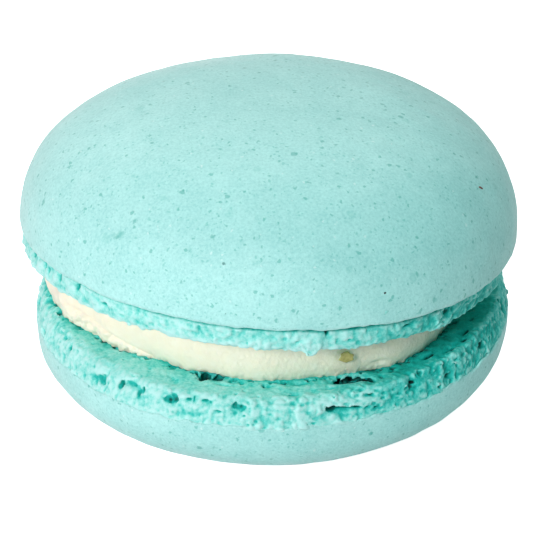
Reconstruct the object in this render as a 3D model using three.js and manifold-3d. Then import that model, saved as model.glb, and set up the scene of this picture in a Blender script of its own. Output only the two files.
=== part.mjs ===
// A macaron: two baked almond meringue shells, each with a smooth domed skin and a ragged foot,
// held together by a layer of buttercream. Millimetres, +Z up, standing on the crown of the lower
// shell, with the origin on the ground under the middle of the whole.
//
// Both shells are described alike, from the flat baked face at height 0 up to the crown of the dome.
// The lower one is turned over and lies level, and the upper one rests on the cream, tipped back.

import * as THREE from 'three';
import { mergeVertices } from 'three/addons/utils/BufferGeometryUtils.js';
import Module from 'manifold-3d';

const DEGREE = Math.PI / 180;
const FULL_TURN = 2 * Math.PI;

// Driving dimensions of the upper shell.
const upper = {
  radius: 23.0,            // at the widest line of the dome
  height: 15.4,            // from the baked face to the crown
  widestHeight: 2.65,
  skinEdgeRadius: 22.45,
  footHeight: 2.2,
  footRadius: 21.95,       // at the edge between foot and baked face
  footTopRadius: 22.05,    // where the foot meets the skin
  roundness: 2.36,         // exponent of the dome's section, 2 for an ellipse
  flatSpotRadius: 0,
  outOfRound: [
    { waves: 2, share: 0.012, crestAngle: 45 },
    { waves: 3, share: 0.0155, crestAngle: 58 },
  ],
  creaseDepth: 0.34,
  footSpread: { angle: 180, reach: 34, amount: 0.6 },
  facing: 1,
};

// Driving dimensions of the lower shell.
const lower = {
  radius: 22.0,
  height: 11.17,
  widestHeight: 2.84,
  skinEdgeRadius: 21.98,
  footHeight: 2.14,
  footRadius: 21.0,
  footTopRadius: 21.85,
  roundness: 2.53,
  flatSpotRadius: 5.0,     // the small flat that the macaron stands on
  outOfRound: [
    { waves: 2, share: 0.009, crestAngle: 33 },
  ],
  creaseDepth: 0.16,
  footSpread: { angle: 180, reach: 34, amount: 0 },
  facing: -1,
};

// How the pieces lie: the cream fills the gap, and the upper shell rises towards the front.
const gapAtMiddle = 3.85;
const upperRoll = 2.6 * DEGREE;       // its right side lies lower
const upperPitch = -5.7 * DEGREE;     // its front is raised
const upperShift = { x: -0.1, y: -0.18 };
const clearance = 0.3;                // left between the cream and either shell

// The cream: its outline follows named radii, and its side bulges over its own lower edge.
const creamRadii = [
  { angle: -180, radius: 21.2 },
  { angle: -163, radius: 20.7 },
  { angle: -148, radius: 19.2 },
  { angle: -125, radius: 17.7 },
  { angle: -95, radius: 17.6 },
  { angle: -70, radius: 18.0 },
  { angle: -52, radius: 18.8 },
  { angle: -25, radius: 18.7 },
  { angle: 20, radius: 18.3 },
  { angle: 90, radius: 19.2 },
  { angle: 140, radius: 20.0 },
];
const creamSegments = 96;
const creamRows = 9;
const creamBulge = 0.45;
const creamWaves = [
  { count: 7, height: 0.16, phase: 1, lean: 0 },
  { count: 13, height: 0.1, phase: 0, lean: 4 },
];
const creamNotch = { angle: -108, reach: 4, depth: 0.9 };
const flake = { angle: -65.5, upTheSide: 0.5, width: 1.15, height: 0.85, thickness: 0.7, proud: 0.16 };

// The ragged foot. Positions along it are measured from the skin edge, down the wall and then
// inwards over the baked face. Bumps are crumbs of meringue, and pits are broken bubbles.
const footSegments = 180;
const domeSegments = 90;
const flatSpotSegments = 30;
const domeSteps = [
  { steep: 0, count: domeSegments },
  { steep: 10, count: domeSegments },
  { steep: 20, count: domeSegments },
  { steep: 31, count: domeSegments },
  { steep: 43, count: domeSegments },
  { steep: 56, count: domeSegments / 2 },
  { steep: 68, count: domeSegments / 2 },
  { steep: 79, count: domeSegments / 6 },
];
const edgeRounding = 0.5;
const lipHeight = 0.14;
const faceRowSpacing = 0.9;
const wallRows = 3;
const wallBow = 0.12;                 // how far the wall of the foot bows out
const wallTopDrop = 0.2;              // from the last row of the wall up to the crease
const reliefCore = { inside: 5, height: 3.2 };
const reliefLimits = { deepest: -1.35, proudest: 0.6 };
const firstMark = 0.35;               // the nearest that a drawn bump or pit lies to the skin edge
const creamMargin = { from: 0.5, to: 1.4 };
const bumpSizes = { reach: [0.7, 1.5], rise: [0.12, 0.34] };
const pitSizes = { reach: [0.45, 0.85], rise: [-0.95, -0.35] };

const upperFoot = {
  seed: 311,
  bumps: 150,
  pits: 34,
  faceWidth: 1.2,
  marks: [
    { angle: -161, along: 0.9, width: 0.7, tall: 0.6, rise: -0.5 },
    { angle: -151, along: 0.8, width: 0.8, tall: 0.8, rise: -0.6 },
    { angle: -142, along: 0.8, width: 0.6, tall: 0.7, rise: -0.5 },
    { angle: -81, along: 1.9, width: 1.2, tall: 0.7, rise: 0.45 },
    { angle: -78.5, along: 0.5, width: 0.5, tall: 0.5, rise: -0.8 },
    { angle: -45.5, along: 0.9, width: 0.9, tall: 0.6, rise: -0.6 },
    { angle: -31, along: 1.0, width: 1.0, tall: 0.8, rise: -0.6 },
  ],
};

const lowerFoot = {
  seed: 907,
  bumps: 230,
  pits: 84,
  faceWidth: 4.6,
  marks: [
    { angle: -135.7, along: 0.8, width: 0.75, tall: 0.6, rise: -1.2 },
    { angle: -126.5, along: 1.0, width: 1.3, tall: 0.6, rise: -1.0 },
    { angle: -115.4, along: 1.3, width: 0.9, tall: 0.7, rise: -1.3 },
    { angle: -106.8, along: 1.7, width: 0.7, tall: 0.35, rise: -0.9 },
    { angle: -97.8, along: 1.5, width: 1.3, tall: 0.9, rise: -0.8 },
    { angle: -74.2, along: 1.05, width: 1.7, tall: 0.35, rise: -1.2 },
    { angle: -54, along: 1.3, width: 0.7, tall: 1.0, rise: -0.9 },
    { angle: -42, along: 0.8, width: 1.0, tall: 0.6, rise: -0.9 },
    { angle: -27, along: 1.0, width: 1.1, tall: 0.7, rise: -0.9 },
    { angle: -108, along: 5.8, width: 1.4, tall: 0.8, rise: -1.1 },
    { angle: -71, along: 4.6, width: 2.6, tall: 0.4, rise: -1.0 },
  ],
};

// Repeatable draws between 0 and 1.
function makeRandom(seed) {
  let state = seed;
  return () => {
    state = (state + 0x6d2b79f5) | 0;
    let mixed = Math.imul(state ^ (state >>> 15), 1 | state);
    mixed = (mixed + Math.imul(mixed ^ (mixed >>> 7), 61 | mixed)) ^ mixed;
    return ((mixed ^ (mixed >>> 14)) >>> 0) / 4294967296;
  };
}

function between(random, [low, high]) {
  return low + (high - low) * random();
}

// The shorter way from one angle to another, in radians.
function turnBetween(from, to) {
  const turn = (to - from) % FULL_TURN;
  if (turn > Math.PI) return turn - FULL_TURN;
  if (turn < -Math.PI) return turn + FULL_TURN;
  return turn;
}

// All bumps and pits of one foot: drawn ones, and the few large ones that have a place of their own.
function footMarks(shell, foot) {
  const random = makeRandom(foot.seed);
  const band = shell.footHeight + foot.faceWidth;
  const marks = [];
  const draw = (count, sizes) => {
    for (let i = 0; i < count; i += 1) {
      const angle = random() * FULL_TURN;
      const along = firstMark + (band - firstMark) * random();
      const reach = between(random, sizes.reach);
      marks.push({ angle, along, width: reach, tall: reach, rise: between(random, sizes.rise) });
    }
  };
  draw(foot.bumps, bumpSizes);
  draw(foot.pits, pitSizes);
  for (const mark of foot.marks) marks.push({ ...mark, angle: mark.angle * DEGREE });
  return marks;
}

// How far the foot stands out of its smooth form at one place. Bumps are round, and pits have
// steeper sides.
function footRelief(marks, radius, angle, along) {
  let relief = 0;
  for (const mark of marks) {
    const across = (turnBetween(mark.angle, angle) * radius) / mark.width;
    const down = (along - mark.along) / mark.tall;
    const square = across * across + down * down;
    relief += mark.rise * Math.exp(-square * (mark.rise < 0 ? square : 1));
  }
  return THREE.MathUtils.clamp(relief, reliefLimits.deepest, reliefLimits.proudest);
}

// The share by which a shell's outline departs from a circle.
function roundFactor(shell, angle) {
  let factor = 1;
  for (const { waves, share, crestAngle } of shell.outOfRound) {
    factor += share * Math.cos(waves * (angle - crestAngle * DEGREE));
  }
  return factor;
}

// How much further the foot spreads on one side, most at its edge with the baked face.
function footSpread(shell, angle, height) {
  const { angle: middle, reach, amount } = shell.footSpread;
  const away = turnBetween(middle * DEGREE, angle) / (reach * DEGREE);
  return amount * Math.exp(-away * away) * Math.max(0, 1 - height / (1.2 * shell.footHeight));
}

// The rings of the baked face and the foot. How ragged each may be is its share of the relief.
function footRings(shell, foot) {
  const flatEnd = shell.footRadius - edgeRounding;
  const faceStart = shell.footRadius - foot.faceWidth;
  const rings = [
    { radius: flatEnd / 2, height: 0, count: domeSegments / 6, ragged: 0 },
    { radius: faceStart - faceRowSpacing, height: 0, count: domeSegments, ragged: 0 },
  ];
  const add = (radius, height, ragged, part) => {
    rings.push({ radius, height, count: footSegments, ragged, part });
  };
  const faceRows = Math.round((flatEnd - faceStart) / faceRowSpacing);
  for (let row = 0; row < faceRows; row += 1) {
    add(THREE.MathUtils.lerp(faceStart, flatEnd, row / faceRows), 0, Math.min(1, row), 'face');
  }
  for (const corner of [0, 45, 90]) {
    const radius = flatEnd + edgeRounding * Math.sin(corner * DEGREE);
    const height = edgeRounding * (1 - Math.cos(corner * DEGREE));
    add(radius, height, 1, corner < 90 ? 'edge' : 'wall');
  }
  for (let row = 1; row <= wallRows; row += 1) {
    const t = row / wallRows;
    const bow = wallBow * Math.sin(Math.PI * t);
    const radius = THREE.MathUtils.lerp(shell.footRadius, shell.footTopRadius, t) + bow;
    add(radius, THREE.MathUtils.lerp(edgeRounding, shell.footHeight - wallTopDrop, t), 1, 'wall');
  }
  add(shell.footTopRadius - shell.creaseDepth, shell.footHeight, 0.4, 'wall');
  add(shell.skinEdgeRadius, shell.footHeight + lipHeight, 0, 'wall');
  return rings;
}

// Radius and height of the dome's section, a superellipse, at a slope angle in degrees.
function domeSection(shell, steep) {
  const power = 2 / shell.roundness;
  const rise = shell.height - shell.widestHeight;
  return {
    radius: shell.radius * Math.cos(steep * DEGREE) ** power,
    height: shell.widestHeight + rise * Math.sin(steep * DEGREE) ** power,
  };
}

// The rings of the smooth dome, which ends in a flat spot where the shell has one.
function domeRings(shell) {
  const rings = domeSteps.map(({ steep, count }) => ({ ...domeSection(shell, steep), count, ragged: 0 }));
  if (shell.flatSpotRadius === 0) return rings;
  const steep = Math.acos((shell.flatSpotRadius / shell.radius) ** (shell.roundness / 2)) / DEGREE;
  const above = rings.filter(({ radius }) => radius > shell.flatSpotRadius);
  return [...above, { ...domeSection(shell, steep), count: flatSpotSegments, ragged: 0 }];
}

// Closes the band between two rings, which may have different numbers of points.
function stitchRings(triangles, below, above) {
  let i = 0;
  let j = 0;
  while (i < below.count || j < above.count) {
    const here = below.start + (i % below.count);
    const there = above.start + (j % above.count);
    if (j >= above.count || (i < below.count && (i + 1) * above.count <= (j + 1) * below.count)) {
      triangles.push(here, below.start + ((i + 1) % below.count), there);
      i += 1;
    } else {
      triangles.push(here, above.start + ((j + 1) % above.count), there);
      j += 1;
    }
  }
}

// Closes the end of a body, from its last ring to one point in the middle.
function stitchEnd(triangles, ring, middle, isFirst) {
  for (let i = 0; i < ring.count; i += 1) {
    const here = ring.start + i;
    const next = ring.start + ((i + 1) % ring.count);
    if (isFirst) triangles.push(middle, next, here);
    else triangles.push(middle, here, next);
  }
}

// One closed body from rings and its two end points. A ring's place(angle) gives a point in space.
function bodyOfRings(rings, firstPoint, lastPoint, facing) {
  const positions = [...firstPoint];
  const triangles = [];
  const placed = rings.map(({ count, place }) => {
    const start = positions.length / 3;
    for (let i = 0; i < count; i += 1) positions.push(...place((i / count) * FULL_TURN));
    return { start, count };
  });
  const last = positions.length / 3;
  positions.push(...lastPoint);
  stitchEnd(triangles, placed[0], 0, true);
  for (let i = 1; i < placed.length; i += 1) stitchRings(triangles, placed[i - 1], placed[i]);
  stitchEnd(triangles, placed[placed.length - 1], last, false);
  if (facing < 0) {
    for (let i = 0; i < positions.length; i += 3) positions[i + 2] = -positions[i + 2];
    triangles.reverse();
  }
  const geometry = new THREE.BufferGeometry();
  geometry.setAttribute('position', new THREE.Float32BufferAttribute(positions, 3));
  geometry.setIndex(triangles);
  geometry.computeVertexNormals();
  return geometry;
}

// The cream's radius at an angle, eased between the named radii, with a small notch in front.
function creamRadius(angle) {
  const turned = THREE.MathUtils.euclideanModulo(angle / DEGREE + 180, 360) - 180;
  const last = creamRadii.findLastIndex((entry) => entry.angle <= turned);
  const from = creamRadii[last];
  const to = creamRadii[(last + 1) % creamRadii.length];
  const span = THREE.MathUtils.euclideanModulo(to.angle - from.angle, 360);
  const t = THREE.MathUtils.smoothstep(turned, from.angle, from.angle + span);
  const away = (turned - creamNotch.angle) / creamNotch.reach;
  return THREE.MathUtils.lerp(from.radius, to.radius, t) - creamNotch.depth * Math.exp(-away * away);
}

// Bumps fade out where the cream lies on them: 0 under the cream, 1 well outside it.
function clearOfCream(radius, angle) {
  const edge = creamRadius(angle);
  return THREE.MathUtils.smoothstep(radius, edge + creamMargin.from, edge + creamMargin.to);
}

// A shell with its baked face at height 0, dome up where facing is 1 and down where it is -1.
function shellGeometry(shell, foot) {
  const marks = footMarks(shell, foot);
  const core = { radius: shell.footRadius - reliefCore.inside, height: reliefCore.height };
  const bare = [...footRings(shell, foot), ...domeRings(shell)];
  const rings = bare.map(({ radius, height, count, ragged, part }) => {
    const away = new THREE.Vector2(radius - core.radius, height - core.height).normalize();
    const along = shell.footHeight - height + Math.max(0, shell.footRadius - radius);
    const place = (angle) => {
      let relief = ragged > 0 ? ragged * footRelief(marks, radius, angle, along) : 0;
      if (relief > 0 && part !== 'wall') relief *= clearOfCream(radius, angle);
      const spread = part === 'face' ? 0 : footSpread(shell, angle, height);
      const reach = (radius + spread + relief * away.x) * roundFactor(shell, angle);
      return [reach * Math.cos(angle), reach * Math.sin(angle), height + relief * away.y];
    };
    return { count, place };
  });
  const crown = shell.flatSpotRadius > 0 ? bare.at(-1).height : shell.height;
  return bodyOfRings(rings, [0, 0, 0], [0, 0, crown], shell.facing);
}

// Height of the upper shell's baked face above the lower one's, over one point.
const tilt = new THREE.Euler(upperPitch, upperRoll, 0, 'YXZ');
const upperFaceNormal = new THREE.Vector3(0, 0, 1).applyEuler(tilt);

function gapAt(x, y) {
  const slope = upperFaceNormal.x * (x - upperShift.x) + upperFaceNormal.y * (y - upperShift.y);
  return gapAtMiddle - slope / upperFaceNormal.z;
}

// One point on the cream's side, at a share of its height. The side bulges most below its middle.
function creamPoint(angle, share) {
  let radius = creamRadius(angle) + creamBulge * Math.sin(Math.PI * share ** 0.75);
  for (const { count, height, phase, lean } of creamWaves) {
    radius += height * share * Math.sin(count * angle + phase + lean * share);
  }
  const x = radius * Math.cos(angle);
  const y = radius * Math.sin(angle);
  return [x, y, clearance + (gapAt(x, y) - 2 * clearance) * share];
}

function creamGeometry() {
  const rings = [];
  for (let row = 0; row < creamRows; row += 1) {
    const share = row / (creamRows - 1);
    rings.push({ count: creamSegments, place: (angle) => creamPoint(angle, share) });
  }
  const top = gapAt(0, 0) - clearance;
  return bodyOfRings(rings, [0, 0, clearance], [0, 0, top], 1);
}

// A small flake of shell stuck in the cream's side.
function flakeGeometry() {
  const angle = flake.angle * DEGREE;
  const [x, y, z] = creamPoint(angle, flake.upTheSide);
  const geometry = new THREE.CylinderGeometry(0.5, 0.5, flake.thickness, 6);
  geometry.scale(flake.width, 1, flake.height);
  geometry.rotateZ(-Math.PI / 2);
  geometry.rotateX(Math.PI / 2);
  geometry.rotateZ(angle);
  const inwards = flake.thickness / 2 - flake.proud;
  geometry.translate(x - inwards * Math.cos(angle), y - inwards * Math.sin(angle), z);
  return geometry;
}

const wasm = await Module();
wasm.setup();

function toSolid(geometry) {
  const bare = geometry.clone();
  bare.deleteAttribute('normal');
  bare.deleteAttribute('uv');
  const merged = mergeVertices(bare, 1e-5);
  return new wasm.Manifold(new wasm.Mesh({
    numProp: 3,
    vertProperties: new Float32Array(merged.attributes.position.array),
    triVerts: new Uint32Array(merged.index.array),
  }));
}

function toGeometry(solid) {
  const mesh = solid.getMesh();
  const geometry = new THREE.BufferGeometry();
  geometry.setAttribute('position', new THREE.BufferAttribute(new Float32Array(mesh.vertProperties), 3));
  geometry.setIndex(new THREE.BufferAttribute(new Uint32Array(mesh.triVerts), 1));
  geometry.computeVertexNormals();
  return geometry;
}

// Baked meringue coloured pale aqua, and ivory buttercream: both dull.
const meringue = new THREE.MeshStandardMaterial({ color: '#a5e0dc', roughness: 0.62, metalness: 0 });
const buttercream = new THREE.MeshStandardMaterial({ color: '#f1edd8', roughness: 0.45, metalness: 0 });

function piece(name, geometry, material) {
  const mesh = new THREE.Mesh(geometry, material);
  mesh.name = name;
  return mesh;
}

const lowerShell = piece('lower_shell', shellGeometry(lower, lowerFoot), meringue);
const creamWithFlake = toSolid(creamGeometry()).add(toSolid(flakeGeometry()));
const filling = piece('filling', toGeometry(creamWithFlake), buttercream);
const upperShell = piece('upper_shell', shellGeometry(upper, upperFoot), meringue);

// The upper shell turns about the middle of its baked face.
const upperRest = new THREE.Group();
upperRest.position.set(upperShift.x, upperShift.y, gapAtMiddle);
upperRest.rotation.copy(tilt);
upperRest.add(upperShell);

const macaron = new THREE.Group();
macaron.add(lowerShell, filling, upperRest);

// The ground under the middle of the whole becomes the origin.
macaron.updateMatrixWorld(true);
const whole = new THREE.Box3().setFromObject(macaron, true);
const middle = whole.getCenter(new THREE.Vector3());
macaron.position.set(-middle.x, -middle.y, -whole.min.z);

export default macaron;
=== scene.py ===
# A macaron: two baked almond meringue shells, smooth on the dome and ragged at the foot, held
# together by a layer of buttercream. Sizes are in millimetres, as on the object, and each mesh is
# turned into metres when it is made.
import math

import bpy
import numpy as np
from mathutils import Matrix, Vector


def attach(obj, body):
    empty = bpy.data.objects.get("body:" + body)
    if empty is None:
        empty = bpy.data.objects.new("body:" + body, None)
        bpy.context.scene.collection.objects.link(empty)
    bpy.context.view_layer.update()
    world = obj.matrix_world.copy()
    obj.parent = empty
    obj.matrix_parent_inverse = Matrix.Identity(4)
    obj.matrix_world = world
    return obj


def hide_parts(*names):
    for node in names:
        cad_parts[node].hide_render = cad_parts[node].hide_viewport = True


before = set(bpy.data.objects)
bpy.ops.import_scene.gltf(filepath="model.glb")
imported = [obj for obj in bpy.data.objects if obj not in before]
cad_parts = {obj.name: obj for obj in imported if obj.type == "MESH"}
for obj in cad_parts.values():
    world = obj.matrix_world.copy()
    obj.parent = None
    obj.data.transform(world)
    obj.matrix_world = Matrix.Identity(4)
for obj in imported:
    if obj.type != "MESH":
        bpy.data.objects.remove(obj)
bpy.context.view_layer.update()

# The camera stands in front and looks down on the macaron from about a third of a metre, with a
# long lens, so that the dome shows and the gap between the shells can be looked into.
MM = 0.001
LOOK_AT = Vector((-0.159, 1.768, 11.494)) * MM
CAMERA_DISTANCE = 350.0 * MM
CAMERA_ELEVATION = math.radians(30.76)
CAMERA_AZIMUTH = math.radians(0.278)

camera_data = bpy.data.cameras.new("camera")
camera_data.sensor_width = 36.0
camera_data.lens = 252.1
camera_data.clip_start = 10 * MM
camera = bpy.data.objects.new("camera", camera_data)
outwards = Vector((
    -math.sin(CAMERA_AZIMUTH) * math.cos(CAMERA_ELEVATION),
    -math.cos(CAMERA_AZIMUTH) * math.cos(CAMERA_ELEVATION),
    math.sin(CAMERA_ELEVATION),
))
camera.location = LOOK_AT + CAMERA_DISTANCE * outwards
camera.rotation_euler = outwards.to_track_quat("Z", "Y").to_euler()
bpy.context.collection.objects.link(camera)
bpy.context.scene.camera = camera


# The skin of the lower shell. Batter of egg white, sugar and ground almond is piped into a round,
# and its top dries to a smooth matt skin before it is baked. This shell is turned over and stands
# on its crown. Along its edge the skin ends in a thin lip above the ragged foot.
FULL_TURN = 2 * math.pi
LOWER = {
    "radius": 22.0,          # at the widest line of the dome
    "height": 11.17,         # from the baked face to the crown
    "widest_height": 2.84,
    "edge_radius": 21.98,    # where the skin ends
    "foot_height": 2.14,
    "foot_radius": 21.0,     # at the edge between foot and baked face
    "foot_top_radius": 21.85,
    "crease_depth": -0.07,   # below 0 the crumb comes out over the skin
    "lip_wander": 0.1,
    "roundness": 2.53,       # exponent of the dome's section, 2 for an ellipse
    "flat_height": 11.092,   # height of the small flat that it stands on
    "waves": [(2, 0.009, 33)],     # count, share of the radius, angle of a crest
    "spread": 0.0,
}
LOWER_MIDDLE = (0.383, -0.065, 11.092)
LIP_HEIGHT = 0.14
CORE_RADIUS = 16.4           # within it the foot's mesh is empty and the skin's mesh is the body
ROOF_ABOVE_FOOT = 0.5        # of the hollow in the skin's mesh that the foot's mesh fills


def ripple(x, y, z, wavelength, seed):
    """Soft random unevenness about 1 high, with hills about one wavelength apart."""
    random = np.random.default_rng(seed)
    total = 0.0
    for _ in range(24):
        turn = random.normal(size=3)
        turn *= FULL_TURN / (wavelength * random.uniform(0.7, 1.4) * np.linalg.norm(turn))
        total = total + np.sin(turn[0] * x + turn[1] * y + turn[2] * z + random.uniform(0, FULL_TURN))
    return total / math.sqrt(12)


def round_factor(shell, angle):
    factor = 1.0
    for waves, share, crest in shell["waves"]:
        factor = factor + share * np.cos(waves * (angle - math.radians(crest)))
    return factor


def skin_section(shell, spacing):
    """Radius and height of the skin from its lip over the widest line to the crown, evenly spaced."""
    edge_height = shell["foot_height"] + LIP_HEIGHT
    turn = np.linspace(0, math.pi / 2, 40)
    under_radius = shell["edge_radius"] + (shell["radius"] - shell["edge_radius"]) * np.sin(turn)
    under_height = shell["widest_height"] - (shell["widest_height"] - edge_height) * np.cos(turn)
    power = 2 / shell["roundness"]
    steep = np.linspace(0, math.pi / 2, 2000)[1:]
    rise = shell["height"] - shell["widest_height"]
    dome_radius = shell["radius"] * np.maximum(np.cos(steep), 0) ** power
    dome_height = shell["widest_height"] + rise * np.sin(steep) ** power
    radius = np.concatenate([under_radius, dome_radius])
    height = np.minimum(np.concatenate([under_height, dome_height]), shell["flat_height"])
    along = np.concatenate([[0], np.cumsum(np.hypot(np.diff(radius), np.diff(height)))])
    steps = np.linspace(0, along[-1], round(along[-1] / spacing))
    return np.interp(steps, along, radius), np.interp(steps, along, height)


def ring_faces(start, count, next_start, next_count):
    """Closes the band between two rings of points, which may have different numbers of points."""
    if count == next_count:
        here = np.arange(count)
        ahead = (here + 1) % count
        return np.column_stack([start + here, start + ahead, next_start + ahead, next_start + here]).tolist()
    faces = []
    i = 0
    j = 0
    while i < count or j < next_count:
        here = start + i % count
        there = next_start + j % next_count
        if j >= next_count or (i < count and (i + 1) * next_count <= (j + 1) * count):
            faces.append((here, start + (i + 1) % count, there))
            i += 1
        else:
            faces.append((here, next_start + (j + 1) % next_count, there))
            j += 1
    return faces


def ring_body(rings, first_point, last_point):
    """One closed body from rings of points, each an array, and a point in the middle of each end."""
    points = np.concatenate([[first_point], *rings, [last_point]])
    counts = [len(ring) for ring in rings]
    starts = 1 + np.concatenate([[0], np.cumsum(counts)[:-1]])
    last = len(points) - 1
    faces = [(0, 1 + (i + 1) % counts[0], 1 + i) for i in range(counts[0])]
    for i in range(len(rings) - 1):
        faces += ring_faces(starts[i], counts[i], starts[i + 1], counts[i + 1])
    faces += [(last, starts[-1] + i, starts[-1] + (i + 1) % counts[-1]) for i in range(counts[-1])]
    return points, faces


def ring_count(radius):
    """Points round a ring, fewer near the middle so that faces keep their size."""
    for least, count in ((14, 640), (7, 320), (3.5, 160), (1.5, 80)):
        if radius > least:
            return count
    return 40


def skin_mesh(shell, seed):
    """The whole shell but for its foot: dome, lip, and the solid middle behind the foot."""
    roof = shell["foot_height"] + ROOF_ABOVE_FOOT
    hidden = [
        (8.0, 0.06, 80),
        (CORE_RADIUS, 0.06, 160),
        (CORE_RADIUS, roof, 160),
        (shell["edge_radius"] - 1.1, roof, 320),
        (shell["edge_radius"] - 0.5, roof - 0.2, 640),
        (shell["edge_radius"] - 0.12, shell["foot_height"] + LIP_HEIGHT + 0.05, 640),
    ]
    radii, heights = skin_section(shell, 0.27)
    shown = [(radius, height, ring_count(radius)) for radius, height in zip(radii[:-1], heights[:-1])]
    rings = []
    for radius, height, count in hidden + shown:
        angle = np.arange(count) / count * FULL_TURN
        reach = radius * round_factor(shell, angle)
        x = reach * np.cos(angle)
        y = reach * np.sin(angle)
        z = np.full(count, height)
        if radius > CORE_RADIUS:
            near_lip = max(0.0, 1 - abs(height - shell["foot_height"] - LIP_HEIGHT) / 0.9)
            wander = ripple(x, y, 0, 3.5, seed + 5) + 0.6 * ripple(x, y, 0, 1.1, seed + 6)
            z = z + near_lip * shell["lip_wander"] * wander
        rings.append(np.column_stack([x, y, z]))
    crown = (0, 0, heights[-1])
    points, faces = ring_body(rings, (0, 0, 0.06), crown)
    x, y, z = points.T
    fade = np.clip((z - shell["foot_height"] - 0.3) / 1.5, 0, 1)
    fade = fade * np.clip((shell["flat_height"] - 0.02 - z) / 0.8, 0, 1)
    lift = fade * (0.035 * ripple(x, y, z, 8.0, seed) + 0.012 * ripple(x, y, z, 2.4, seed + 1))
    middle = np.array((0, 0, shell["widest_height"]))
    away = points - middle
    points = points + lift[:, None] * away / np.maximum(np.linalg.norm(away, axis=1), 1)[:, None]
    return points, faces


def place(points, turn, middle):
    """Takes points of a shell lying on its baked face to where the shell is in the macaron."""
    return points @ np.array(turn).T + np.array(middle)


def make_piece(name, points, faces, material, mirrored=False, shares=None):
    """A smooth-shaded object from points in millimetres. Shares are values that its material reads."""
    if mirrored:
        faces = [face[::-1] for face in faces]
    mesh = bpy.data.meshes.new(name)
    mesh.from_pydata((np.asarray(points) * MM).tolist(), [], faces)
    mesh.validate()
    for share_name, values in (shares or {}).items():
        attribute = mesh.attributes.new(share_name, "FLOAT", "POINT")
        attribute.data.foreach_set("value", np.asarray(values, dtype=np.float32))
    mesh.shade_smooth()
    mesh.materials.append(material)
    piece = bpy.data.objects.new(name, mesh)
    bpy.context.collection.objects.link(piece)
    return piece


def colour(hex_value):
    """Linear colour, with alpha, of an sRGB hex value."""
    shares = [int(hex_value[i:i + 2], 16) / 255 for i in (1, 3, 5)]
    linear = [s / 12.92 if s <= 0.04045 else ((s + 0.055) / 1.055) ** 2.4 for s in shares]
    return (*linear, 1.0)


def add(material, kind, inputs=(), **settings):
    """Adds a node to a material. Inputs are (socket, value) pairs, and a value may be another socket."""
    tree = material.node_tree
    node = tree.nodes.new(kind)
    for name, value in settings.items():
        setattr(node, name, value)
    for socket, value in inputs:
        if isinstance(value, bpy.types.NodeSocket):
            tree.links.new(value, node.inputs[socket])
        else:
            node.inputs[socket].default_value = value
    return node


def new_material(name):
    material = bpy.data.materials.new(name)
    material.use_nodes = True
    material.node_tree.nodes.clear()
    return material


def object_mm(material):
    """The place on a piece in millimetres, so that patterns have their real sizes."""
    return add(material, "ShaderNodeVectorMath", [
        (0, add(material, "ShaderNodeTexCoord").outputs["Object"]), ("Scale", 1 / MM),
    ], operation="SCALE").outputs[0]


def cover(material, inputs):
    """Ends a material with the shader that has these inputs."""
    surface = add(material, "ShaderNodeBsdfPrincipled", inputs)
    add(material, "ShaderNodeOutputMaterial", [("Surface", surface.outputs[0])])


# Baked meringue skin: almond and sugar dried to a matt film, fairly pale, with a fine grain, darker
# pinholes where air came through, and a few blurred spots of less even colour.
skin_material = new_material("baked_meringue_skin")
place_mm = object_mm(skin_material)
mottle = add(skin_material, "ShaderNodeTexNoise", [
    ("Vector", place_mm), ("Scale", 1 / 3.5), ("Detail", 6), ("Roughness", 0.78),
]).outputs["Fac"]
sand = add(skin_material, "ShaderNodeTexNoise", [
    ("Vector", place_mm), ("Scale", 1 / 0.26), ("Detail", 2), ("Roughness", 0.7),
]).outputs["Fac"]
mottle = add(skin_material, "ShaderNodeMath", [
    (0, sand), (1, 1.3), (2, mottle),
], operation="MULTIPLY_ADD").outputs[0]
mottle_share = add(skin_material, "ShaderNodeMapRange", [
    ("Value", mottle), ("From Min", 0.9), ("From Max", 1.4),
]).outputs[0]
skin_colour = add(skin_material, "ShaderNodeMix", [
    (0, mottle_share), (6, colour("#9de1dd")), (7, colour("#b6f1ed")),
], data_type="RGBA").outputs[2]


def spotted(material, base, vector, spacing, least, size, amount, spot_colour, seed_shift):
    """Mixes round spots into a colour: one to a cell of that spacing, in cells whose draw is above least."""
    shift = (seed_shift, seed_shift * 1.7, seed_shift * 0.6)
    moved = add(material, "ShaderNodeVectorMath", [(0, vector), (1, shift)])
    cells = add(material, "ShaderNodeTexVoronoi", [
        ("Vector", moved.outputs[0]), ("Scale", 1 / spacing), ("Randomness", 1),
    ])
    draw = add(material, "ShaderNodeSeparateColor", [(0, cells.outputs["Color"])])
    reach = add(material, "ShaderNodeMapRange", [
        ("Value", draw.outputs[0]), ("From Min", least), ("From Max", 1.0),
        ("To Min", 0.0), ("To Max", size / spacing),
    ])
    near = add(material, "ShaderNodeMath", [
        (0, reach.outputs[0]), (1, cells.outputs["Distance"]),
    ], operation="SUBTRACT")
    share = add(material, "ShaderNodeMapRange", [
        ("Value", near.outputs[0]), ("From Min", 0.0), ("From Max", 0.35 * size / spacing),
        ("To Min", 0.0), ("To Max", amount),
    ])
    return add(material, "ShaderNodeMix", [
        (0, share.outputs[0]), (6, base), (7, colour(spot_colour)),
    ], data_type="RGBA").outputs[2]


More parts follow.
